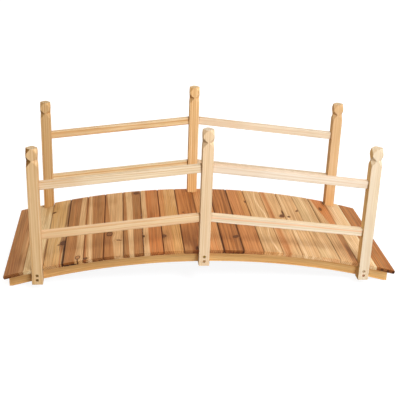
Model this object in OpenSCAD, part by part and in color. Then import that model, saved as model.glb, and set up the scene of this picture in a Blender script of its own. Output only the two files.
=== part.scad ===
// Arched garden foot-bridge in softwood. Two bowed stringers carry a deck of cross planks.
// Three posts on each side are screwed to the stringers and hold two straight rails in each bay.
// The bridge runs along X and stands on z = 0, with its middle at x = 0 and y = 0.

/* [Deck] */
// Length of the deck in plan
deck_l = 1524; // [1200:1:1850]
// Width of the deck, along its planks
deck_w = 626; // [500:1:800]
// Radius of the walking surface
arch_r = 2910; // [2300:10:4200]
// Number of planks
plank_count = 20; // [16:2:24]
// Thickness of a plank
plank_t = 14.5; // [12:0.5:20]
// Gap between neighbouring planks
plank_gap = 0.1; // [0.1:0.1:4]
// Rounding of a plank's long edges
plank_round = 4.5; // [2:0.5:5.5]

/* [Stringers] */
// Distance that the deck runs out past each end of the stringers
deck_overhang = 18; // [5:1:60]
// Depth of a stringer, square to its curve
stringer_h = 51; // [40:1:70]
// Thickness of a stringer
stringer_t = 38; // [25:1:50]
// Depth trimmed off the lower end corners to make level feet
foot_trim = 3; // [2:0.5:6]
// Room between a stringer's curved top and the flat planks
plank_seat = 0.2; // [0.1:0.1:0.5]

/* [Posts] */
// Width of a post, on all four faces
post_w = 41; // [34:0.5:50]
// Length of a post
post_l = 543; // [420:1:700]
// Rounding of a post's corners
post_round = 1.8; // [0.5:0.1:4]
// Distance that a post's outer face stands out past the plank ends
post_proud = 3; // [1:0.5:8]
// Planks between each end of the deck and the inner face of the end posts
end_planks = 2; // [1:1:4]
// Room between a post and the planks notched around it
post_clear = 1; // [0.6:0.1:3]

/* [Post heads] */
// Width of each face left between the facets at the very top
crown_flat = 8; // [2:0.5:20]
// Height of the facets that cut off the top corners
crown_drop = 20.5; // [10:0.5:30]
// Length of plain corner between the facets and the notch below them
corner_band = 6.5; // [2:0.5:20]
// Width of each face left between the tips of the notches
neck_flat = 4; // [3:0.5:20]
// Height of the notch's undercut side
notch_upper = 19.5; // [10:0.5:30]
// Height of the notch's lower side
notch_lower = 22.5; // [10:0.5:30]

/* [Rails] */
// Height of a rail
rail_h = 30.5; // [20:0.5:45]
// Thickness of a rail
rail_t = 22; // [14:0.5:32]
// Rounding of a rail's edges
rail_round = 2.5; // [0.5:0.1:5]
// Height of the lower rails' middle above the feet of the posts
rail_low_z = 198; // [140:1:250]
// Height of the upper rails' middle above the feet of the posts
rail_up_z = 396; // [320:1:450]

/* [Screw pockets] */
// Diameter of the pockets in the post feet
pocket_d = 12; // [6:0.5:14]
// Depth of the pockets
pocket_depth = 4; // [2:0.5:12]
// Height of the lower pocket above the foot of the post
pocket_low_z = 18.5; // [12:0.5:24]
// Height of the upper pocket above the foot of the post
pocket_up_z = 37.5; // [30:0.5:46]

/* [Hidden] */
// Angles of the arch: half of the deck, and one plank
half_angle = asin(deck_l / 2 / arch_r);
plank_angle = 2 * half_angle / plank_count;

// Width of a plank, whose neighbours are nearest where the rounding of its lower edges begins
plank_w = 2 * (arch_r - plank_t + plank_round) * tan(plank_angle / 2) - plank_gap;

// Curves of the stringers, and the height of the axis that all the curves share
stringer_top_r = arch_r - plank_t - plank_seat;
stringer_low_r = stringer_top_r - stringer_h;
stringer_l = deck_l - 2 * deck_overhang;
axis_z = -foot_trim - sqrt(pow(stringer_low_r, 2) - pow(stringer_l / 2, 2));

// Places of the posts, and of the stringers against their inner faces
post_y = deck_w / 2 + post_proud - post_w / 2;
stringer_y = post_y - post_w / 2 - stringer_t / 2;
seam_x = arch_r * sin((plank_count / 2 - end_planks) * plank_angle);
end_post_x = seam_x + post_clear + post_w / 2;

// Fall of the rails from the middle post to an end post
rail_fall = underside(0) - underside(end_post_x);
rail_angle = atan(rail_fall / end_post_x);

// Distances from the axis of a post to its corners and to the cuts in its head
corner_r = post_w / sqrt(2);
crown_r = (post_w + crown_flat) / sqrt(8);
neck_r = (post_w + neck_flat) / sqrt(8);

// Words for the two sides, the three posts of a side, the two bays and the two rails of a bay
sides = [["front", -1], ["back", 1]];
columns = [["left", -1], ["middle", 0], ["right", 1]];
bays = [["left", -1], ["right", 1]];
levels = [["lower", rail_low_z], ["upper", rail_up_z]];

// Colours of the wood
heartwood = [0.60, 0.38, 0.24];
mixed_wood = [0.72, 0.51, 0.33];
sapwood = [0.83, 0.66, 0.46];
stringer_wood = [0.80, 0.60, 0.37];
post_wood = [0.91, 0.78, 0.60];
rail_wood = [0.92, 0.78, 0.61];
plank_woods = [heartwood, sapwood, mixed_wood, heartwood, mixed_wood];

function plank_name(i) = str("deck_plank_", i < 10 ? "0" : "", i);
function post_name(side, column) = str("post_", side[0], "_", column[0]);
function rail_name(side, bay, level) = str("rail_", side[0], "_", bay[0], "_", level[0]);
function stringer_name(side) = str("stringer_", side[0]);

// Height of the stringers' lower edge at x, where the posts end
function underside(x) = axis_z + sqrt(pow(stringer_low_r, 2) - x * x);

// A point past b on the line from a, so that a cut runs clear of the wood
function past(a, b) = a + 1.3 * (b - a);

// Corner points of a w by h section whose four edges are rounded to r in n steps
function rounded(w, h, r, n) = [
    for (corner = [0 : 3], step = [0 : n])
        let (a = 90 * corner + 90 * step / n)
        let (sx = corner == 0 || corner == 3 ? 1 : -1)
        let (sy = corner < 2 ? 1 : -1)
        [sx * (w / 2 - r) + r * cos(a), sy * (h / 2 - r) + r * sin(a)]
];

// Notch in the end of a plank, from x = low to x = high, open to the plank's end
module plank_notch(side, low, high) {
    inner = post_y - post_w / 2 - post_clear;
    translate([low, side > 0 ? inner : -inner - 2 * post_w, 0])
        cube([high - low, 2 * post_w, 2 * arch_r]);
}

module deck_plank(i) {
    k = i - (plank_count + 1) / 2;
    at_end_post = abs(abs(k) - (plank_count / 2 - end_planks + 0.5)) < 0.1;
    reach = post_w / 2 + post_clear;
    color(plank_woods[i % len(plank_woods)])
        difference() {
            translate([0, 0, axis_z])
                rotate([0, k * plank_angle, 0])
                    translate([0, 0, arch_r - plank_t / 2])
                        rotate([90, 0, 0])
                            linear_extrude(deck_w, center = true)
                                polygon(rounded(plank_w, plank_t, plank_round, 4));
            for (side = [-1, 1]) {
                if (abs(k) < 1)
                    plank_notch(side, -reach, reach);
                if (at_end_post && k > 0)
                    plank_notch(side, end_post_x - reach - plank_t, end_post_x + reach);
                if (at_end_post && k < 0)
                    plank_notch(side, -end_post_x - reach, -end_post_x + reach + plank_t);
            }
        }
}

// Upright outline of what is cut off one corner of a post's head, from the axis outwards
module corner_cuts() {
    crown_in = [crown_r, post_l];
    crown_out = [corner_r, post_l - crown_drop];
    notch_top = [corner_r, post_l - crown_drop - corner_band];
    neck = [neck_r, notch_top[1] - notch_upper];
    notch_end = [corner_r, neck[1] - notch_lower];
    top_out = past(crown_in, crown_out);
    top_in = past(crown_out, crown_in);
    polygon([top_in, top_out, [top_out[0], top_in[1]]]);
    polygon([neck, past(neck, notch_end), past(neck, notch_top)]);
}

module post(side, column) {
    x = column[1] * end_post_x;
    color(post_wood)
        translate([x, side[1] * post_y, underside(x)])
            difference() {
                linear_extrude(post_l)
                    polygon(rounded(post_w, post_w, post_round, 2));
                for (turn = [45 : 90 : 315])
                    rotate([90, 0, turn])
                        linear_extrude(2 * post_w, center = true)
                            corner_cuts();
                for (z = [pocket_low_z, pocket_up_z])
                    translate([0, side[1] * post_w / 2, z])
                        rotate([90, 0, 0])
                            cylinder(h = 2 * pocket_depth, d = pocket_d, center = true, $fn = 48);
            }
}

module rail(side, bay, level) {
    color(rail_wood)
        intersection() {
            translate([bay[1] * end_post_x / 2, side[1] * post_y, underside(0) - rail_fall / 2 + level[1]])
                rotate([0, bay[1] * rail_angle, 0])
                    rotate([90, 0, 90])
                        linear_extrude(end_post_x, center = true)
                            polygon(rounded(rail_t, rail_h, rail_round, 3));
            translate([bay[1] * end_post_x / 2, 0, 0])
                cube([end_post_x - post_w, 2 * deck_w, 4 * post_l], center = true);
        }
}

module stringer(side) {
    color(stringer_wood)
        translate([0, side[1] * stringer_y, 0])
            rotate([90, 0, 0])
                linear_extrude(stringer_t, center = true)
                    intersection() {
                        translate([0, axis_z])
                            difference() {
                                circle(r = stringer_top_r, $fn = 360);
                                circle(r = stringer_low_r, $fn = 360);
                            }
                        translate([-stringer_l / 2, 0])
                            square([stringer_l, stringer_top_r]);
                    }
}

for (i = [1 : plank_count])
    deck_plank(i);

for (side = sides, column = columns)
    post(side, column);

for (side = sides, bay = bays, level = levels)
    rail(side, bay, level);

for (side = sides)
    stringer(side);
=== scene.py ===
"""Looks for the moon bridge: wood finishes, screws, floor, lamps and camera. Metres, in the frame of the part."""

import math

import bpy
import numpy as np
from mathutils import Matrix, Vector


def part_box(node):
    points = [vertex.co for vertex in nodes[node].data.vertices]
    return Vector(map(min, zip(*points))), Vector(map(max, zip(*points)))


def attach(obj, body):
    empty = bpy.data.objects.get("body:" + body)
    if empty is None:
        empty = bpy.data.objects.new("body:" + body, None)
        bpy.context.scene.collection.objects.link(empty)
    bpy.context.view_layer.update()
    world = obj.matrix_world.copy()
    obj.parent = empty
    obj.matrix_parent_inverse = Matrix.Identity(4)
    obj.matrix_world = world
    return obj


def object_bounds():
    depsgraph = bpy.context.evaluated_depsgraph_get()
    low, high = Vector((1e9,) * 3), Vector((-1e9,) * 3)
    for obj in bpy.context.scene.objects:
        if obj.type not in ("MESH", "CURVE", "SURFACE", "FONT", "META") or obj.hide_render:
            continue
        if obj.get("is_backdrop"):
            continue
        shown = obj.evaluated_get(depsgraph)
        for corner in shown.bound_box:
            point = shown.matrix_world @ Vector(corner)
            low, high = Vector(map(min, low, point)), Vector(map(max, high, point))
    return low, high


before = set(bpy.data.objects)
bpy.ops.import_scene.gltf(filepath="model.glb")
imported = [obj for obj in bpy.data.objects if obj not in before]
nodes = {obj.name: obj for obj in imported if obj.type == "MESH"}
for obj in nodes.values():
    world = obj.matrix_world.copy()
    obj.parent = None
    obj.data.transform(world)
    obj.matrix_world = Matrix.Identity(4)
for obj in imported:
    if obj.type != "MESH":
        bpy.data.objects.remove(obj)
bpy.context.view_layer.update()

# Sizes of the bridge that the finishes follow, in metres
ARCH_R = 2.910
PLANK_ANGLE = math.radians(1.51832)
AXIS_Z = -2.74827
PLANK_T = 0.0145
END_POST_X = 0.63368
RAIL_TURN = math.radians(6.4366)
STRINGER_MIDDLE_Z = 0.1215
POCKET_FLOOR_Y = 0.312
POCKET_HEIGHTS = (0.0185, 0.0375)

# Half sizes of the boards across the face, through the depth and along the grain, in millimetres
PLANK_HALF = (38.375, 7.25, 313.0)
POST_HALF = (20.5, 20.5, 271.5)
RAIL_HALF = (15.25, 11.0, 298.2)
STRINGER_HALF = (25.5, 19.0, 744.0)
# Radius of the stringers' bow, and how far above a post's middle the cuts in its head begin, in millimetres
STRINGER_BOW_R = 2870.0
HEAD_CUTS_FROM = 199.0


# ---------------------------------------------------------------- shader maths

class Shade:
    """An output socket in a material. Python operators on it add Math nodes."""

    def __init__(self, tree, socket=None):
        self.tree = tree
        self.socket = socket

    def node(self, kind, settings=None, inputs=None, output=0):
        """A new node: first its settings, then the values or links of its sockets."""
        made = self.tree.nodes.new(kind)
        for name, value in (settings or {}).items():
            setattr(made, name, value)
        for key, value in (inputs or {}).items():
            if isinstance(value, Shade):
                self.tree.links.new(value.socket, made.inputs[key])
            else:
                made.inputs[key].default_value = value
        return Shade(self.tree, made.outputs[output] if len(made.outputs) else None)

    def math(self, operation, *values, clamp=False):
        return self.node("ShaderNodeMath", {"operation": operation, "use_clamp": clamp}, dict(enumerate(values)))

    def __add__(self, other):
        return self.math("ADD", self, other)

    def __radd__(self, other):
        return self.math("ADD", other, self)

    def __sub__(self, other):
        return self.math("SUBTRACT", self, other)

    def __rsub__(self, other):
        return self.math("SUBTRACT", other, self)

    def __mul__(self, other):
        return self.math("MULTIPLY", self, other)

    def __rmul__(self, other):
        return self.math("MULTIPLY", other, self)

    def __truediv__(self, other):
        return self.math("DIVIDE", self, other)

    def __rtruediv__(self, other):
        return self.math("DIVIDE", other, self)

    def __pow__(self, other):
        return self.math("POWER", self, other)

    def __abs__(self):
        return self.math("ABSOLUTE", self)

    def root(self):
        return self.math("SQRT", self)

    def smaller(self, other):
        return self.math("MINIMUM", self, other)

    def rise(self, low, high, bottom=0.0, top=1.0):
        """Smooth step from bottom at low to top at high."""
        return self.node("ShaderNodeMapRange", {"interpolation_type": "SMOOTHSTEP"},
                         {0: self, 1: low, 2: high, 3: bottom, 4: top})

    def parts(self):
        """The three values of a vector."""
        made = self.node("ShaderNodeSeparateXYZ", None, {0: self})
        return [Shade(self.tree, s) for s in made.socket.node.outputs]

    def joined(self, x, y, z):
        """A vector of three values."""
        return self.node("ShaderNodeCombineXYZ", None, {0: x, 1: y, 2: z})

    def stretched(self, scale, shift):
        """A vector times scale, plus shift."""
        return self.node("ShaderNodeVectorMath", {"operation": "MULTIPLY_ADD"}, {0: self, 1: scale, 2: shift})

    def noise(self, scale, seed, detail=2.0, rough=0.5):
        """Noise from 0 to 1 on a vector, with its own scale along each axis."""
        shift = (seed * 7.31 % 50, seed * 3.77 % 50, seed * 11.13 % 50)
        return self.node("ShaderNodeTexNoise", {"noise_dimensions": "3D"},
                         {"Vector": self.stretched(scale, shift), "Scale": 1.0, "Detail": detail, "Roughness": rough})

    def mixed(self, first, second, amount, way="MIX"):
        """Two colours mixed by amount. A colour Mix node has its colours at inputs 6 and 7 and output 2."""
        return self.node("ShaderNodeMix", {"data_type": "RGBA", "blend_type": way, "clamp_factor": True},
                         {0: amount, 6: first, 7: second}, 2)

    def place(self):
        """Where a point is in the frame of the part, in metres."""
        return self.node("ShaderNodeTexCoord", output="Object")

    def seen(self):
        """1 where the floor or the surroundings are looked at, straight or in a shine, and 0 where they only light."""
        rays = self.node("ShaderNodeLightPath").socket.node.outputs
        straight, glossy, clear = (Shade(self.tree, rays[kind])
                                   for kind in ("Is Camera Ray", "Is Glossy Ray", "Is Transmission Ray"))
        return self.math("ADD", straight + glossy, clear, clamp=True)


def emptied(owner):
    """Empties the nodes of a material or a world, and gives the Shade that makes new ones in it."""
    owner.use_nodes = True
    owner.node_tree.nodes.clear()
    return Shade(owner.node_tree)


def tone(red, green, blue):
    """A colour written in the usual 0 to 255 steps, as the linear values that shaders take."""
    c = np.array([red, green, blue]) / 255
    c = np.where(c <= 0.04045, c / 12.92, ((c + 0.055) / 1.055) ** 2.4)
    return (*c.tolist(), 1.0)


# ---------------------------------------------------------------- wood finishes

TONES = {
    "peach": tone(240, 198, 157),
    "cream": tone(240, 208, 162),
    "pale": tone(226, 187, 136),
    "tan": tone(212, 166, 113),
    "gold": tone(216, 164, 100),
    "honey": tone(208, 142, 86),
    "rust": tone(208, 132, 72),
    "russet": tone(186, 122, 70),
    "sand": tone(236, 213, 167),
    "wheat": tone(223, 190, 139),
    "straw": tone(214, 178, 127),
    "maize": tone(217, 175, 113),
    "amber": tone(205, 150, 95),
    "brown": tone(188, 131, 78),
    "umber": tone(167, 119, 71),
    "dark": tone(124, 76, 42),
    "bark": tone(78, 46, 25),
    "milk": tone(248, 229, 202),
}
KNOT_SHELL = tone(98, 54, 24)
KNOT_RIM = tone(62, 33, 13)
KNOT_HEART = tone(58, 31, 12)
END_BARK = tone(44, 26, 14)

# Tints that are multiplied into a colour. Rings and threads are darker in the deck than in the paler wood.
DARK_LINES = (0.66, 0.51, 0.36, 1.0)
GOLDEN_LINES = (0.80, 0.59, 0.36, 1.0)
CLOUD = (0.80, 0.72, 0.62, 1.0)
PALE_THREAD = (1.22, 1.23, 1.22, 1.0)
DARK_FIBRE = (0.76, 0.65, 0.52, 1.0)
KNOT_HALO = (0.66, 0.47, 0.30, 1.0)
PAINTED_JOINT_SHADE = (0.40, 0.28, 0.17, 1.0)
PAINTED_FOOT_BOUNCE = (0.97, 0.84, 0.68, 1.0)
SAWN_END = (0.60, 0.48, 0.38, 1.0)
END_BLOTCH_AND_SHADE = (0.40, 0.31, 0.24, 1.0)
PAINTED_HEAD_SHADE = (0.46, 0.35, 0.20, 1.0)
PAINTED_END_HIGHLIGHT = (1.30, 1.22, 1.12, 1.0)
SEAM = (0.34, 0.23, 0.14, 1.0)
EDGE = (0.92, 0.86, 0.78, 1.0)

# Softness of a band's edges, in widths of the board, and of its ends, in millimetres
BAND_SOFT = 0.03
BAND_END_SOFT = 30


class Board:
    """A sawn board's finish.

    Three distances are measured in millimetres from the board's middle: across its face, through its
    depth and along its grain. Yearly rings are shells round a pith line beside the board: the ring number
    is the distance to that line, swayed by slow noise and by the taper of the trunk, over the ring's width.
    Each ring darkens slowly and ends sharply. Bands of heartwood, and some bands of painted shade, have edges that run
    straight along the board with a slow sway, and veins run as sine waves. A knot is an oval with a dark rim that
    pushes the rings aside. Threads and fibres, darker end grain and darker edges or seams come on top, with painted
    light and shade on some faces, ends and joints, and the same rings and fibres raise the surface.

    Centre is the board's middle in metres, turn is its turn about Y, and order names the axes that run across,
    through and along it. Look holds what sets one board apart from another.
    """

    def __init__(self, name, centre, turn, order, half, look):
        self.material = bpy.data.materials.new(name)
        self.start = emptied(self.material)
        self.look = look
        self.half = half
        local = self.start.node("ShaderNodeMapping", {"vector_type": "TEXTURE"},
                                {"Vector": self.start.place(), "Location": centre, "Rotation": (0.0, turn, 0.0),
                                 "Scale": (0.001, 0.001, 0.001)})
        axes = dict(zip("xyz", local.parts()))
        self.across, self.depth, self.along = (axes[letter] for letter in order)
        if "bow" in look:
            self.across = self.across + self.along * self.along * (0.5 / look["bow"])
        self.facing = self.start.node("ShaderNodeNewGeometry", output="True Normal").parts()
        self.ends = abs(self.facing["xyz".index(order[2])]).rise(0.55, 0.9)
        self.grow()
        self.lay_bands()
        self.mark_grain()
        self.mark_knots()
        self.paint_joint_shade_and_foot_bounce()
        self.mark_ends()
        self.paint_face_light_and_shade()
        self.shade_edges()
        self.close()

    def paint(self, colour, amount):
        """Lays a colour over the board by amount."""
        self.colour = self.start.mixed(self.colour, colour, amount)

    def tint(self, colour, amount):
        """Multiplies a colour into the board by amount."""
        self.colour = self.start.mixed(self.colour, colour, amount, "MULTIPLY")

    def grow(self):
        """The sway of the grain, the room that knots push open in it, its rings and its finer marks."""
        look, seed, across, depth, along = self.look, self.look["seed"], self.across, self.depth, self.along
        width = 2 * self.half[0]
        sway = look.get("sway", 5.0)
        grain = self.start.joined(across, depth, along)
        slow = grain.noise((0.018, 0.018, 0.0042), seed) - 0.5
        slower = grain.noise((0.012, 0.012, 0.0022), seed + 3.7, 1.0) - 0.5
        ragged = grain.noise((0.13, 0.13, 0.10), seed + 4.3) - 0.5
        moved = across + slow * (2 * sway) + slower * (2 * sway)
        self.knots = []
        for at, place, radius, stretch, darkness, tilt in look.get("knots", ()):
            far = along - place
            off = across - (at - 0.5) * width - far * tilt
            spread = (off * off + (far / stretch) * (far / stretch)).root() / radius + ragged * 0.6
            moved = moved - off * (0.8 / (1 + (spread * 0.55) ** 4))
            self.knots.append((spread, darkness))
        self.place_across = moved * (0.35 / width) + across * (0.65 / width) + 0.5

        # yearly rings, each with its own strength
        pith_across, pith_depth = look["pith"]
        dx = moved - pith_across
        dz = depth + slow * sway - pith_depth
        ring = ((dx * dx + dz * dz).root() + along * look.get("taper", 0.03)) / look["ring"]
        chance = self.start.node("ShaderNodeTexWhiteNoise", {"noise_dimensions": "1D"},
                                 {"W": ring.math("FLOOR", ring) + seed * 13.7})
        self.late = (ring.math("FRACT", ring) ** 2.2) * (0.3 + 0.7 * chance)

        # streaks, threads and fibres, from broad to fine, all running with the grain
        flow = self.start.joined(moved, depth, along)
        self.cloud = grain.noise((0.022, 0.022, 0.006), seed + 6.1)
        self.streak = flow.noise((0.10, 0.10, 0.0022), seed + 2.9, 2.0, 0.55)
        self.thread = flow.noise((0.27, 0.27, 0.0035), seed + 1.9, 2.0, 0.55)
        self.fibre = flow.noise((0.75, 0.75, 0.007), seed + 1.3, 3.0, 0.6)
        self.pores = grain.noise((0.9, 0.9, 0.2), seed + 5.1)
        self.blotch = grain.noise((0.15, 0.25, 0.2), seed + 8.3)

    def lay_bands(self):
        """Two tones in streaks, then heartwood, sapwood, bark and some painted shade in bands, and veins along the
        board.
        """
        look, along = self.look, self.along
        base, second = (TONES.get(look[key], look[key]) for key in ("base", "second"))
        self.colour = self.start.mixed(base, second, self.streak.rise(0.32, 0.68))
        level = along / (2 * self.half[2]) + 0.5
        reach = along + (self.streak - 0.5) * 150 + (self.thread - 0.5) * 60
        ragged = self.place_across + (self.thread - 0.5) * 0.06
        for paint, back_low, back_high, front_low, front_high, strength, *limits in look.get("bands", ()):
            low = level * (back_low - front_low) + front_low
            high = level * (back_high - front_high) + front_high
            mask = (ragged - low).rise(-BAND_SOFT, BAND_SOFT) * (high - ragged).rise(-BAND_SOFT, BAND_SOFT) * strength
            if limits:
                first, last = limits
                mask = mask * reach.rise(first - BAND_END_SOFT, first + BAND_END_SOFT)
                mask = mask * reach.rise(last + BAND_END_SOFT, last - BAND_END_SOFT)
            self.paint(TONES[paint], mask)
        for paint, middle, swing, length, phase, width, strength in look.get("veins", ()):
            bend = along / length + phase
            gap = abs(self.place_across - (bend.math("SINE", bend) * swing + middle))
            self.paint(TONES[paint], gap.rise(width, width * 0.4) * strength)

    def mark_grain(self):
        """Clouds, rings, threads and fibres darken or lighten the colour, and rings show most on sawn ends."""
        look = self.look
        mark = look.get("mark", 1.0)
        lines = look.get("lines", DARK_LINES)
        calm = (1 - 0.75 * self.ends) * (0.9 * mark)
        self.tint(CLOUD, self.cloud.rise(0.5, 0.75) * (look.get("cloud", 0.8) * mark))
        self.tint(lines, self.late * (look.get("ring_mark", 0.8) + 0.5 * self.ends))
        self.tint(lines, self.thread.rise(0.5, 0.8) * calm)
        self.tint(PALE_THREAD, self.thread.rise(0.5, 0.22) * calm)
        self.tint(DARK_FIBRE, self.fibre.rise(0.5, 0.75) * (0.7 * mark))

    def mark_knots(self):
        """A knot has a darker halo round it, a brown face with shells in it, a dark rim and, if unsound, a dark heart.
        """
        for spread, darkness in self.knots:
            sound = 1 - darkness
            shells = spread.math("PINGPONG", spread * 3.0, 0.5) * 2
            face = tone(152 + 38 * sound, 92 + 42 * sound, 48 + 36 * sound)
            self.tint(KNOT_HALO, spread.rise(2.4, 1.0) * (0.7 - 0.4 * sound))
            self.paint(face, spread.rise(1.08, 0.88) * 0.9)
            self.paint(KNOT_SHELL, spread.rise(1.0, 0.8) * ((0.15 + 0.45 * shells) * (1 - 0.5 * sound)))
            self.paint(KNOT_RIM, spread.rise(1.30, 1.06) * spread.rise(0.66, 0.9) * (0.95 - 0.1 * sound))
            self.paint(KNOT_HEART, spread.rise(0.95, 0.4) * darkness)

    def paint_joint_shade_and_foot_bounce(self):
        """Painted shade darkens a rail's ends where it meets its posts, and painted warm bounce light darkens and warms
        the foot of a back post.
        """
        for way, strength in zip((-1.0, 1.0), self.look.get("joints", ())):
            # painted shade at a rail's end where it meets a post
            self.tint(PAINTED_JOINT_SHADE, (self.along * way - self.half[2]).rise(-6.0, -1.0) * strength)
        if "foot" in self.look:
            # painted warm bounce light from the deck, darker and warmer towards the foot
            self.tint(PAINTED_FOOT_BOUNCE, self.along.rise(0, -220) * self.look["foot"])

    def mark_ends(self):
        """Sawn ends are darker, most of all in the heartwood, and show blotches, pores and bark; low down, dark ends
        carry darker blotches that are partly painted contact shade.
        """
        look, ends, depth, place = self.look, self.ends, self.depth, self.place_across
        deep = self.start.node("ShaderNodeRGBToBW", None, {0: self.colour}).rise(0.42, 0.16, 0.3, 1.0)
        cut = ends * deep * look.get("end_mark", 1.0)
        self.tint(SAWN_END, cut * (0.65 + 0.35 * self.pores))
        # darker blotches low on a dark sawn end, partly painted contact shade
        self.tint(END_BLOTCH_AND_SHADE, cut * deep * depth.rise(4.0, -5.0) * self.blotch.rise(0.38, 0.62))
        if "end_tint" in look:
            self.tint(look["end_tint"], ends)
        for first, last, strength, top in look.get("end_bark", ()):
            mask = ends * depth.rise(top, top - 3.0) * place.rise(first - BAND_SOFT, first + BAND_SOFT)
            self.paint(END_BARK, mask * place.rise(last + BAND_SOFT, last - BAND_SOFT) * strength)

    def paint_face_light_and_shade(self):
        """Painted shade on a post's left face and on the left-facing cuts in its head, greyer tone and painted light on
        its top, and painted light and shade on a rail's top face.
        """
        look, facing = self.look, self.facing
        if "flank" in look:
            # painted shade on a post's left face
            self.tint(look["flank"], facing[0].rise(-0.5, -0.9))
        if "head_cut_shade" in look:
            # painted shade on the left-facing cuts in a post's head, darkest on the undercut ones
            slant = abs(facing[0]).rise(0.3, 0.5) * abs(facing[1]).rise(0.3, 0.5)
            slant = slant * self.along.rise(HEAD_CUTS_FROM, HEAD_CUTS_FROM + 4.0)
            shade = facing[0].rise(0.4, -0.4) * facing[2].rise(0.2, -0.4, *look["head_cut_shade"])
            self.tint(PAINTED_HEAD_SHADE, slant * shade)
            # greyer end-grain tone with painted light on the top of a post
            self.tint(look["top"], self.ends)
        if "crest" in look:
            # painted light and shade on a rail's top face
            self.tint(look["crest"], facing[2].rise(0.4, 0.85))

    def shade_edges(self):
        """Seams are darker, a painted highlight lies on the top brink of a plank's end, and other edges are a little
        darker.
        """
        look, half, across, depth, fibre = self.look, self.half, self.across, self.depth, self.fibre
        if "seams" in look:
            brink = (abs(self.along) - half[2]).smaller(depth - half[1]) + fibre * 0.7
            # painted highlight on the top brink of a plank's sawn end
            self.tint(PAINTED_END_HIGHLIGHT, brink.rise(-2.6, 0.2) * 0.45)
            for way, strength in zip((-1.0, 1.0), look["seams"]):
                brink = across * way - half[0] + fibre * 2.0
                self.tint(SEAM, brink.rise(-1.8 - 1.4 * strength, 0.4) * strength)
        else:
            brink = (abs(across) - half[0]).smaller(abs(depth) - half[1]) + fibre * 1.2
            self.tint(EDGE, brink.rise(-2.2, 0.3) * look.get("edge", 0.7) * (1 - self.ends))

    def close(self):
        """Joins the colour, the roughness and the raised grain into the material."""
        rough = 0.58 + 0.2 * self.fibre + 0.1 * self.ends - 0.06 * self.late
        height = self.late * -0.35 + self.fibre * -0.6 + self.thread * -0.3 + self.ends * self.pores * -0.4
        for spread, _ in self.knots:
            height = height - spread.rise(1.25, 1.0) * spread.rise(0.8, 1.0) * 0.8
        bump = self.start.node("ShaderNodeBump", None, {"Strength": 0.3, "Distance": 0.0006, "Height": height})
        surface = self.start.node("ShaderNodeBsdfPrincipled", None,
                                  {"Base Color": self.colour, "Roughness": rough, "Normal": bump,
                                   "Specular IOR Level": 0.14})
        self.start.node("ShaderNodeOutputMaterial", None, {0: surface})


def finish(node, board):
    """Gives a piece of the part its finish."""
    for slot in nodes[node].material_slots:
        slot.material = board.material
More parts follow.
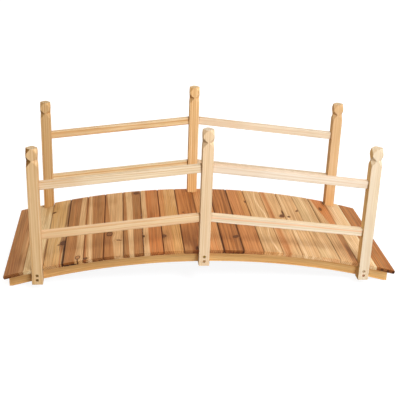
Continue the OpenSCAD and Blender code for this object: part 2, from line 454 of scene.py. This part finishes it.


# Each plank from left to right: its two tones, the width of its rings, and what else it shows. Ring_mark and end_mark
# say how strongly rings and sawn ends show, end_tint tints the sawn ends, and sway says how far the grain wanders.
# A band is: tone, its two edges at the back, its two edges at the front, strength, and where it starts and ends along
# the plank; some bands by the posts are partly painted post shadow. A vein is: tone, middle, swing, length, phase,
# width and strength. A knot is: place across, place along, radius, stretch, darkness and tilt. Bark on a sawn end is:
# its two edges, strength and top.
PLANKS = [
    dict(base="umber", second="brown", ring=7.0,
         bands=[("tan", 0.98, 1.1, 0.80, 1.1, 0.85), ("tan", 0.66, 1.1, 0.66, 1.1, 0.4, -160, 60),
                ("dark", -0.1, 1.1, -0.1, 1.1, 0.3, -400, -190)]),
    dict(base="sand", second="wheat", ring=6.0,
         bands=[("maize", 0.4, 1.1, 0.4, 1.1, 0.5, 190, 400), ("umber", 0.93, 1.1, 0.93, 1.1, 0.8, -240, -40)],
         knots=[(0.40, 296, 6, 1.0, 0.4, 0.0)]),
    dict(base="straw", second="maize", ring=6.0, end_tint=(0.97, 0.88, 0.85, 1.0),
         bands=[("dark", 0.87, 1.1, 0.80, 1.1, 0.7, 10, 270), ("dark", 0.72, 1.1, 0.72, 1.1, 0.7, -205, -60),
                ("russet", 0.79, 0.88, 0.79, 0.88, 0.9, -400, -160), ("bark", 0.94, 1.1, 0.92, 1.1, 0.9, -400, -100)],
         knots=[(0.08, 196, 8, 0.8, 0.8, 0.5), (0.89, -132, 11, 1.4, 0.8, 0.0), (0.66, -142, 5, 0.7, 0.8, 0.0)]),
    dict(base="umber", second="brown", ring=6.0, end_mark=1.25, end_tint=(0.96, 0.88, 0.72, 1.0),
         bands=[("pale", 0.66, 0.92, 0.58, 0.96, 0.85)],
         knots=[(0.72, -283, 9, 1.45, 0.0, 0.0), (0.72, -306, 2, 4.0, 0.9, 0.0)],
         end_bark=[(-0.1, 0.68, 0.9, -1.0)]),
    dict(base="brown", second="umber", ring=7.0, end_mark=1.2,
         bands=[("tan", -0.1, 0.27, -0.1, 0.45, 1.0), ("cream", 0.13, 0.21, 0.24, 0.40, 0.6),
                ("russet", -0.1, 0.0, -0.1, 0.13, 0.9, -400, -80), ("brown", -0.1, 0.10, -0.1, 0.10, 0.8, -80, 400)],
         knots=[(0.12, -302, 7, 1.0, 0.6, 0.0)]),
    dict(base="pale", second="tan", ring=5.0, end_mark=1.3,
         bands=[("brown", -0.1, 0.08, -0.1, 0.55, 1.0), ("dark", -0.1, 0.36, -0.1, 0.36, 0.3, -210, -80)],
         knots=[(0.29, -112, 11, 1.6, 0.4, 0.0), (0.78, -179, 7, 0.7, 0.5, -1.2)]),
    dict(base="brown", second="umber", ring=7.0,
         bands=[("pale", 0.16, 0.54, 0.30, 0.52, 1.0), ("umber", 0.5, 0.95, 0.6, 0.9, 0.3, 130, 400)],
         knots=[(0.78, 288, 10, 1.2, 0.6, 0.0)]),
    dict(base="russet", second="rust", ring=7.0, ring_mark=0.6,
         bands=[("pale", -0.1, 0.27, -0.1, 0.32, 0.88), ("umber", 0.60, 1.1, 0.60, 1.1, 0.4, -170, -60),
                ("amber", 0.60, 1.1, 0.60, 1.1, 0.4, 30, 290)],
         knots=[(0.03, -165, 5, 1.8, 0.6, 0.0)]),
    dict(base="gold", second="tan", ring=7.0, end_tint=(1.02, 0.94, 0.89, 1.0),
         bands=[("honey", -0.1, 0.34, -0.1, 0.26, 0.75, -60, 400), ("gold", 0.50, 0.92, 0.50, 0.92, 0.6),
                ("honey", -0.1, 0.6, -0.1, 0.5, 0.5, -400, -60), ("umber", -0.1, 0.36, -0.1, 0.36, 0.5, -215, -140),
                ("pale", 0.68, 1.1, 0.68, 1.1, 0.35, 110, 290)],
         knots=[(0.08, -175, 8, 1.3, 0.5, 0.0)]),
    dict(base=tone(183, 119, 65), second=tone(205, 138, 79), ring=3.6, ring_mark=0.7,
         # the dark bands at the front of this plank are partly the front middle post's painted shadow
         bands=[("dark", -0.1, 1.1, -0.1, 1.1, 0.36, -400, -80), ("dark", -0.1, 0.7, -0.1, 0.7, 0.35, -400, -205),
                ("dark", 0.62, 1.1, 0.62, 1.1, 0.25, -205, -40), ("amber", -0.1, 0.42, -0.1, 0.42, 0.5, -400, -265),
                ("dark", 0.56, 0.60, 0.56, 0.62, 0.35), ("dark", 0.72, 0.81, 0.70, 0.78, 0.5, 20, 400),
                ("bark", 0.92, 0.98, 0.92, 0.98, 0.5, 70, 400)],
         knots=[(0.28, 50, 4, 1.0, 0.7, 0.0), (0.70, -292, 6, 2.6, 0.7, 0.2)]),
    dict(base="amber", second="honey", ring=7.0, end_mark=1.2, bands=[("bark", 0.95, 1.1, 0.94, 1.1, 0.7, -400, -60)]),
    dict(base=tone(197, 133, 75), second=tone(183, 119, 65), ring=9.0, ring_mark=1.0, end_mark=1.4,
         bands=[("dark", -0.1, 0.17, -0.1, 0.08, 0.5), ("dark", 0.25, 0.31, 0.25, 0.31, 0.6),
                ("dark", 0.42, 0.48, 0.44, 0.50, 0.55), ("dark", 0.60, 0.74, 0.62, 0.78, 0.55),
                ("dark", 0.80, 0.93, 0.82, 1.0, 0.45), ("bark", 0.93, 1.1, 0.93, 1.1, 0.7)],
         knots=[(0.79, -187, 9, 1.2, 0.6, 0.4)]),
    dict(base=tone(208, 147, 90), second="russet", ring=7.0, ring_mark=0.6, end_mark=0.45,
         bands=[("honey", 0.10, 0.30, 0.10, 0.30, 0.8), ("russet", -0.1, 0.34, -0.1, 0.34, 0.4),
                ("gold", 0.66, 1.1, 0.66, 1.1, 0.45, 30, 400)],
         knots=[(0.97, 180, 5, 2.0, 0.5, 0.0)]),
    dict(base=tone(207, 161, 107), second=tone(221, 182, 130), ring=8.0, sway=9.0, end_mark=0.2,
         end_tint=(1.0, 0.86, 0.72, 1.0), bands=[("honey", 0.94, 1.1, 0.94, 1.1, 0.5)],
         veins=[("cream", 0.72, 0.13, 62.0, 1.2, 0.07, 0.8), ("cream", 0.30, 0.06, 80.0, 0.4, 0.05, 0.5)]),
    dict(base="pale", second="tan", ring=6.0, end_mark=0.2,
         bands=[("honey", 0.08, 0.33, 0.10, 0.45, 0.75), ("russet", 0.16, 0.28, 0.26, 0.39, 0.75),
                ("russet", 0.28, 0.46, 0.30, 0.48, 0.7, -262, -196), ("honey", -0.1, 1.1, -0.1, 1.1, 0.28, -270, -130)],
         knots=[(0.82, 56, 10, 1.5, 0.6, 0.25), (0.95, 96, 4, 5.0, 0.8, 0.05)]),
    dict(base="pale", second="tan", ring=7.0, end_mark=0.0,
         bands=[("cream", 0.12, 0.22, 0.10, 0.28, 0.7), ("cream", 0.60, 0.66, 0.50, 0.62, 0.6)],
         knots=[(0.20, 55, 5, 1.3, 0.8, 0.3), (0.90, 136, 5, 2.0, 0.4, 0.5)]),
    dict(base=tone(229, 196, 147), second="straw", ring=7.0, end_mark=0.1, end_tint=(1.03, 0.88, 0.80, 1.0),
         bands=[("cream", 0.48, 0.56, 0.40, 0.50, 0.6), ("tan", 0.70, 0.95, 0.60, 0.90, 0.6),
                ("amber", -0.1, 0.7, -0.1, 0.7, 0.35, -215, -70)]),
    dict(base="tan", second="pale", ring=7.0, end_mark=0.35,
         # the umber and dark bands along the right edge at the front are partly heartwood and partly the front right
         # post's painted shadow
         bands=[("rust", 0.12, 1.1, 1.20, 1.2, 0.85, 50, 400), ("rust", 0.54, 1.1, 0.62, 1.1, 0.6, -400, 70),
                ("umber", 0.66, 1.0, 0.64, 1.0, 0.8, -400, -60), ("dark", 0.74, 1.1, 0.70, 1.1, 0.55, -270, -160),
                ("umber", -0.1, 0.55, -0.1, 0.55, 0.3, -280, -140), ("dark", 0.80, 1.1, 0.70, 1.1, 0.45, 240, 400),
                ("dark", 0.02, 0.09, 0.02, 0.09, 0.5, 20, 400)],
         knots=[(0.50, 205, 6, 2.4, 0.5, 0.1), (0.98, 285, 7, 2.0, 0.6, 0.0)]),
    dict(base=tone(235, 204, 160), second="pale", ring=6.0,
         bands=[("cream", 0.30, 0.50, 0.35, 0.55, 0.5), ("rust", -0.1, 0.09, -0.1, 0.09, 0.5, 130, 400),
                ("sand", 0.84, 0.96, 0.84, 0.96, 0.7), ("honey", -0.1, 0.32, -0.1, 0.32, 0.3, 100, 230)]),
    dict(base=tone(170, 109, 56), second=tone(190, 127, 69), ring=8.0, ring_mark=1.0,
         bands=[("umber", 0.40, 0.50, 0.35, 0.50, 0.8), ("umber", 0.05, 0.20, 0.10, 0.20, 0.6),
                ("dark", 0.76, 0.82, 0.74, 0.80, 0.5), ("dark", 0.48, 0.54, 0.48, 0.54, 0.5, 60, 260)],
         end_bark=[(0.22, 0.36, 0.8, 6.0), (0.56, 0.70, 0.8, 6.0), (0.86, 0.97, 0.9, 6.0)]),
]
# How dark each seam is, from the left end of the deck to the right one
SEAMS = (0.2, 0.2, 0.5, 0.9, 0.4, 0.9, 0.7, 0.8, 1.0, 0.9, 0.6, 1.0, 0.9, 0.7, 0.15, 0.3, 0.1, 0.5, 0.3, 0.1, 0.6)

for index, plank in enumerate(PLANKS, 1):
    angle = (index - (len(PLANKS) + 1) / 2) * PLANK_ANGLE
    radius = ARCH_R - PLANK_T / 2
    middle = (radius * math.sin(angle), 0.0, AXIS_Z + radius * math.cos(angle))
    plank["seed"] = index * 1.7
    plank["seams"] = SEAMS[index - 1:index + 1]
    plank["pith"] = ((-1) ** index * (52.0 + (index * 13) % 40), -22.0 - (index * 23) % 40)
    finish("deck_plank_%02d" % index, Board("plank_wood_%02d" % index, middle, angle, "xzy", PLANK_HALF, plank))

# Each post: its two tones, ring width, strength of the rings and of the other marks, place of the pith beside it and
# how dark the painted shade on the left-facing cuts in its head is, on those that face up and on the undercut ones
POSTS = {
    "post_front_left": (tone(232, 199, 153), tone(220, 183, 131), 9.0, 0.9, 0.7, (-58.0, -12.0), (1.0, 1.0)),
    "post_front_middle": (tone(236, 208, 170), tone(230, 199, 157), 7.5, 0.55, 0.5, (52.0, -20.0), (0.25, 0.5)),
    "post_front_right": (tone(232, 214, 184), tone(227, 204, 169), 8.5, 0.4, 0.4, (-47.0, -30.0), (0.05, 0.25)),
    "post_back_left": (tone(222, 191, 140), tone(210, 173, 122), 9.5, 1.5, 0.9, (70.0, -8.0), (0.25, 0.6)),
    "post_back_middle": (tone(244, 212, 162), tone(233, 194, 137), 9.0, 1.1, 0.8, (-64.0, -14.0), (0.2, 0.6)),
    "post_back_right": (tone(228, 193, 146), tone(221, 180, 127), 9.0, 0.3, 0.35, (60.0, -35.0), (0.1, 0.5)),
}
# Painted shade on the posts' left faces, and greyer end-grain tone with painted light on their tops
PAINTED_FLANK_SHADES = {
    "post_front_right": (1.08, 0.91, 0.60, 1.0),
    "post_back_middle": (0.95, 0.90, 0.80, 1.0),
    "post_back_right": (0.94, 0.90, 0.82, 1.0),
}
POST_TOP_TONE_AND_LIGHT = (0.83, 0.94, 1.12, 1.0)
POST_TOPS_TONE_AND_LIGHT = {"post_front_right": (0.94, 0.96, 0.97, 1.0)}

for index, (node, (light, deep, ring, ring_mark, mark, pith, head_cut_shade)) in enumerate(POSTS.items()):
    low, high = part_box(node)
    look = dict(seed=31 + index * 2.3, base=light, second=deep, ring=ring, sway=2.5, taper=0.008, pith=pith,
                ring_mark=ring_mark, mark=mark, cloud=0.3, end_mark=0.35, lines=GOLDEN_LINES, head_cut_shade=head_cut_shade,
                top=POST_TOPS_TONE_AND_LIGHT.get(node, POST_TOP_TONE_AND_LIGHT))
    if node in PAINTED_FLANK_SHADES:
        look["flank"] = PAINTED_FLANK_SHADES[node]
    # the back posts get painted warm bounce light at the foot
    if "back" in node:
        look["foot"] = 0.9
    finish(node, Board(node + "_wood", tuple((low + high) / 2), 0.0, "xyz", POST_HALF, look))

# Each rail: its two tones, ring width, strength of the rings and of the other marks, and place of the pith
RAILS = {
    "rail_front_left_lower": (tone(238, 208, 164), tone(230, 190, 143), 8.0, 0.7, 0.55, (42.0, -10.0)),
    "rail_front_left_upper": (tone(243, 225, 195), tone(235, 210, 171), 8.5, 0.9, 0.6, (-40.0, -14.0)),
    "rail_front_right_lower": (tone(233, 215, 183), tone(226, 203, 167), 9.0, 0.55, 0.4, (46.0, -12.0)),
    "rail_front_right_upper": (tone(237, 220, 196), tone(230, 207, 177), 9.5, 0.45, 0.35, (-52.0, -8.0)),
    "rail_back_left_lower": (tone(251, 235, 192), tone(238, 213, 166), 8.0, 1.1, 0.8, (38.0, -6.0)),
    "rail_back_left_upper": (tone(252, 230, 186), tone(244, 213, 159), 9.0, 1.4, 0.9, (-44.0, -10.0)),
    "rail_back_right_lower": (tone(230, 214, 187), tone(224, 203, 169), 8.5, 0.4, 0.35, (40.0, -16.0)),
    "rail_back_right_upper": (tone(239, 224, 197), tone(233, 211, 177), 9.0, 0.35, 0.3, (-48.0, -18.0)),
}
# Bands of the rails, as on the planks, with their edges at the right end before those at the left end
# the gold bands across the whole rail toward its left end are painted warm shade
RAIL_BANDS_AND_SHADE = {
    "rail_front_right_lower": [("milk", -0.1, 0.34, -0.1, 0.28, 0.5), ("peach", 0.56, 0.80, 0.46, 0.72, 0.85)],
    "rail_front_left_lower": [("peach", 0.10, 0.30, 0.20, 0.40, 0.4), ("gold", -0.1, 1.1, -0.1, 1.1, 0.16, -400, -60),
                              ("gold", -0.1, 1.1, -0.1, 1.1, 0.16, -400, -180)],
    "rail_front_left_upper": [("gold", -0.1, 1.1, -0.1, 1.1, 0.3, -400, -150), ("gold", -0.1, 0.1, -0.1, 0.1, 0.35)],
    "rail_front_right_upper": [("gold", -0.1, 1.1, -0.1, 1.1, 0.12, -400, -120)],
    "rail_back_right_upper": [("gold", -0.1, 1.1, -0.1, 1.1, 0.16, -400, -120)],
    "rail_back_left_upper": [("gold", 0.62, 0.80, 0.60, 0.80, 0.5), ("honey", -0.1, 0.17, -0.1, 0.17, 0.6),
                             ("gold", -0.1, 1.1, -0.1, 1.1, 0.2, -400, 110),
                             ("gold", -0.1, 1.1, -0.1, 1.1, 0.15, -400, -60)],
    "rail_back_left_lower": [("gold", 0.62, 0.85, 0.62, 0.85, 0.5), ("gold", -0.1, 1.1, -0.1, 1.1, 0.25, -400, -50)],
}
# Painted light and shade on the rails' top faces
PAINTED_RAIL_CREST_LIGHTS = {
    "rail_front_left_upper": (0.84, 0.84, 0.83, 1.0),
    "rail_front_right_upper": (0.92, 0.89, 0.88, 1.0),
    "rail_front_left_lower": (1.0, 1.06, 1.18, 1.0),
    "rail_back_left_lower": (0.86, 0.87, 0.94, 1.0),
    "rail_back_left_upper": (0.78, 0.79, 0.88, 1.0),
    "rail_back_right_lower": (0.86, 0.81, 0.77, 1.0),
    "rail_back_right_upper": (0.82, 0.79, 0.77, 1.0),
}

for index, (node, (light, deep, ring, ring_mark, mark, pith)) in enumerate(RAILS.items()):
    low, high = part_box(node)
    turn = RAIL_TURN if "right_" in node else -RAIL_TURN
    # painted shade at the rail's ends where it meets the posts, strongest at the right end
    look = dict(seed=51 + index * 2.9, base=light, second=deep, ring=ring, sway=3.0, taper=0.01, pith=pith,
                ring_mark=ring_mark, mark=mark, cloud=0.3, end_mark=0.35, lines=GOLDEN_LINES, joints=(0.3, 0.9),
                edge=0.2 if "right_lower" in node else 0.6, bands=RAIL_BANDS_AND_SHADE.get(node, ()))
    if node in PAINTED_RAIL_CREST_LIGHTS:
        look["crest"] = PAINTED_RAIL_CREST_LIGHTS[node]
    finish(node, Board(node + "_wood", tuple((low + high) / 2), turn, "zyx", RAIL_HALF, look))

for index, side in enumerate(("front", "back")):
    low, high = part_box("stringer_" + side)
    middle = ((low.x + high.x) / 2, (low.y + high.y) / 2, STRINGER_MIDDLE_Z)
    # the gold bands toward the left end of a stringer are painted shade
    look = dict(seed=77 + index * 4.1, base=tone(250, 203, 134), second=tone(236, 180, 110), ring=9.0, taper=0.004,
                pith=(-60.0, -34.0), ring_mark=0.9, mark=0.7, cloud=0.3, lines=GOLDEN_LINES, bow=STRINGER_BOW_R,
                bands=[("gold", -0.1, 1.1, -0.1, 1.1, 0.5, -800, -230), ("gold", -0.1, 1.1, -0.1, 1.1, 0.2, -800, 0)])
    finish("stringer_" + side, Board("stringer_%s_wood" % side, middle, 0.0, "zyx", STRINGER_HALF, look))


# ---------------------------------------------------------------- screws

# A screw's head, in metres: its radius with and without the edge of its rim, the heights of its rim and of the dome
# over the rim, the radius at which the dome would end, and the depth of its cross-shaped recess
HEAD_R = 0.0055
HEAD_TOP_R = 0.0054
RIM_H = 0.0010
DOME_H = 0.0012
DOME_R = 0.0058
RECESS_H = 0.0016
# Half width and reach of the recess's arms, at its floor and at its brink
ARM_HALF = (0.0006, 0.0011)
ARM_REACH = (0.0029, 0.0035)

SPECKS = tone(40, 30, 22)


def screw_steel(name, light, deep):
    """Coated steel, dull, in two tones that meet in blotches, with fine dark specks."""
    material = bpy.data.materials.new(name)
    start = emptied(material)
    where = start.place()
    blotch = where.noise((420.0, 420.0, 420.0), 5.0, 3.0)
    specks = where.noise((2600.0, 2600.0, 2600.0), 8.0)
    colour = start.mixed(light, deep, blotch.rise(0.35, 0.65))
    colour = start.mixed(colour, SPECKS, specks.rise(0.55, 0.75) * 0.7)
    bump = start.node("ShaderNodeBump", None, {"Strength": 0.2, "Distance": 0.0002, "Height": specks})
    surface = start.node("ShaderNodeBsdfPrincipled", None,
                         {"Base Color": colour, "Roughness": 0.42 + 0.25 * blotch, "Metallic": 0.75, "Normal": bump})
    start.node("ShaderNodeOutputMaterial", None, {0: surface})
    return material


def smooth_fall(v, low, high):
    """1 below low and 0 above high, with a smooth step between them."""
    s = np.clip((v - high) / (low - high), 0, 1)
    return s * s * (3 - 2 * s)


def screw_head(name, x, z, side, steel):
    """A countersunk screw's head at the floor of its pocket.

    The surface is a function of a radius and a turn. Its height over the pocket's floor is a low dome, highest in
    the middle, less a cross-shaped recess that is deep where the smaller of the two distances to the cross's arms
    is under half an arm's width and the radius is under the arm's reach. The rim drops to the floor at the end.
    """
    rings, turns = 26, 64
    r = np.concatenate([np.linspace(0.00005, HEAD_TOP_R, rings), [HEAD_R, HEAD_R]])
    a = np.linspace(0, 2 * np.pi, turns, endpoint=False)
    rr, aa = np.meshgrid(r, a, indexing="ij")
    u, w = rr * np.cos(aa), rr * np.sin(aa)
    dome = RIM_H + DOME_H * np.sqrt(np.clip(1 - (rr / DOME_R) ** 2, 0, 1))
    arm = np.minimum(np.abs(u), np.abs(w))
    recess = smooth_fall(arm, *ARM_HALF) * smooth_fall(rr, *ARM_REACH)
    h = dome - RECESS_H * recess
    h[-1] = 0.0
    y = side * (POCKET_FLOOR_Y + h)
    turn = 0.35 + 5.0 * (x + z)
    px = x + u * math.cos(turn) - w * math.sin(turn)
    pz = z + u * math.sin(turn) + w * math.cos(turn)
    points = np.stack([px, y, pz], -1).reshape(-1, 3)
    pole = np.array([[x, side * (POCKET_FLOOR_Y + h[0].mean()), z]])
    points = np.vstack([points, pole])
    i, j = np.meshgrid(np.arange(len(r) - 1), np.arange(turns), indexing="ij")
    k = (j + 1) % turns
    quads = np.stack([i * turns + j, (i + 1) * turns + j, (i + 1) * turns + k, i * turns + k], -1).reshape(-1, 4)
    fan = np.stack([np.full(turns, len(points) - 1), np.arange(turns), (np.arange(turns) + 1) % turns], -1)
    if side > 0:
        quads, fan = quads[:, ::-1], fan[:, ::-1]
    mesh = bpy.data.meshes.new(name)
    mesh.from_pydata(points.tolist(), [], quads.tolist() + fan.tolist())
    mesh.polygons.foreach_set("use_smooth", np.ones(len(mesh.polygons), bool))
    mesh.update()
    mesh.materials.append(steel)
    piece = bpy.data.objects.new(name, mesh)
    bpy.context.scene.collection.objects.link(piece)
    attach(piece, "root")


bronze = screw_steel("screw_steel_bronze", tone(150, 113, 56), tone(107, 77, 36))
yellow = screw_steel("screw_steel_yellow", tone(164, 130, 50), tone(120, 90, 27))
brown = screw_steel("screw_steel_brown", tone(190, 150, 98), tone(148, 110, 68))
grey = screw_steel("screw_steel_grey", tone(206, 184, 148), tone(164, 136, 102))
copper = screw_steel("screw_steel_copper", tone(194, 150, 113), tone(148, 106, 76))

# Where the posts of a side stand, and the steels of their lower and upper screws
SCREWS = {"left": (-END_POST_X, bronze, bronze), "middle": (0.0, brown, yellow), "right": (END_POST_X, copper, grey)}
for word, side in (("front", -1), ("back", 1)):
    for column, (x, *steels) in SCREWS.items():
        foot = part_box("post_%s_%s" % (word, column))[0].z
        for level, rise, steel in zip(("low", "high"), POCKET_HEIGHTS, steels):
            screw_head("screw_%s_%s_%s" % (word, column, level), x, foot + rise, side, steel)


# ---------------------------------------------------------------- floor, lamps and camera

FLOOR_HALF = 40
WHITE = (1.0, 1.0, 1.0, 1.0)
FLOOR_GREY = (0.22, 0.22, 0.22, 1.0)
WARM_FILL = (1.0, 0.80, 0.54, 1.0)
COOL = (0.93, 1.0, 1.14)
WARM = (1.0, 0.95, 0.88)

# The camera stands a little left of the middle and looks down on the bridge: its place in metres, its turns in
# degrees, its focal length and the picture's width in pixels, and its sensor's width in millimetres
CAMERA_PLACE = (-0.31565, -3.08603, 1.53186)
CAMERA_TURNS = (6.0031, 22.6372, -2.0218)
FOCAL_PIXELS = 813.448
PICTURE_PIXELS = 400
SENSOR_W = 36.0


def pale_floor():
    """A wide level floor that shows white to the camera and keeps a faint shadow."""
    corners = [(FLOOR_HALF * x, FLOOR_HALF * y, 0) for x, y in ((-1, -1), (1, -1), (1, 1), (-1, 1))]
    mesh = bpy.data.meshes.new("floor")
    mesh.from_pydata(corners, [], [(0, 1, 2, 3)])
    piece = bpy.data.objects.new("floor", mesh)
    bpy.context.scene.collection.objects.link(piece)
    material = bpy.data.materials.new("floor_white")
    start = emptied(material)
    x, y, _ = start.place().parts()
    plain = start.node("ShaderNodeBsdfDiffuse", None, {"Color": FLOOR_GREY})
    near = start.node("ShaderNodeEmission", None, {"Color": WHITE, "Strength": 0.90})
    far = start.node("ShaderNodeEmission", None, {"Color": WHITE, "Strength": 1.0})
    glow = start.node("ShaderNodeMixShader", None, {0: (x * x + y * y).root().rise(0.9, 2.0), 1: near, 2: far})
    white = start.node("ShaderNodeAddShader", None, {0: plain, 1: glow})
    both = start.node("ShaderNodeMixShader", None, {0: start.seen(), 1: plain, 2: white})
    start.node("ShaderNodeOutputMaterial", None, {0: both})
    mesh.materials.append(material)
    piece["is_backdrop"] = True


def surroundings(level):
    """Even warm light from all round, white where the camera sees it."""
    world = bpy.data.worlds.new("studio")
    bpy.context.scene.world = world
    start = emptied(world)
    fill = start.node("ShaderNodeBackground", None, {"Color": WARM_FILL, "Strength": level})
    white = start.node("ShaderNodeBackground", None, {"Color": WHITE, "Strength": 1.0})
    both = start.node("ShaderNodeMixShader", None, {0: start.seen(), 1: fill, 2: white})
    start.node("ShaderNodeOutputWorld", None, {0: both})


def lamp(name, place, aim, size, level, colour):
    """A square soft lamp. Level is how bright it makes a white surface that faces it at the aim point."""
    data = bpy.data.lights.new(name, "AREA")
    data.shape = "SQUARE"
    data.size = size
    data.color = colour
    reach = Vector(aim) - Vector(place)
    data.energy = level * math.pi ** 2 * reach.length_squared
    piece = bpy.data.objects.new(name, data)
    piece.matrix_world = Matrix.Translation(place) @ reach.to_track_quat("-Z", "Y").to_matrix().to_4x4()
    bpy.context.scene.collection.objects.link(piece)


pale_floor()
surroundings(0.40)
lamp("key_lamp", (1.6, -3.1, 3.3), (0.0, 0.0, 0.2), 1.5, 0.50, COOL)
lamp("side_lamp", (3.6, -1.6, 1.1), (0.0, 0.0, 0.2), 1.5, 0.18, COOL)
lamp("front_lamp", (1.0, -4.8, 0.8), (0.0, 0.0, 0.2), 2.0, 0.42, COOL)
lamp("top_lamp", (0.1, 1.2, 3.8), (0.0, 0.0, 0.1), 3.0, 0.35, COOL)
lamp("left_back_lamp", (-2.6, 3.6, 1.9), (0.0, 0.0, 0.2), 2.0, 0.11, WARM)
lamp("right_back_lamp", (2.6, 3.6, 1.9), (0.0, 0.0, 0.2), 2.0, 0.11, WARM)

yaw, pitch, roll = (math.radians(d) for d in CAMERA_TURNS)
ahead = np.array([math.sin(yaw) * math.cos(pitch), math.cos(yaw) * math.cos(pitch), -math.sin(pitch)])
right = np.array([math.cos(yaw), -math.sin(yaw), 0.0])
down = np.cross(ahead, right)
image_right = math.cos(roll) * right + math.sin(roll) * down
image_down = -math.sin(roll) * right + math.cos(roll) * down
lens = bpy.data.cameras.new("camera")
lens.sensor_fit = "HORIZONTAL"
lens.sensor_width = SENSOR_W
lens.lens = FOCAL_PIXELS * SENSOR_W / PICTURE_PIXELS
camera = bpy.data.objects.new("camera", lens)
stand = np.eye(4)
stand[:3, :3] = np.stack([image_right, -image_down, -ahead], 1)
stand[:3, 3] = CAMERA_PLACE
camera.matrix_world = Matrix(stand.tolist())
bpy.context.scene.collection.objects.link(camera)
bpy.context.scene.camera = camera
bpy.context.scene.view_settings.view_transform = "Standard"

low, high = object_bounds()
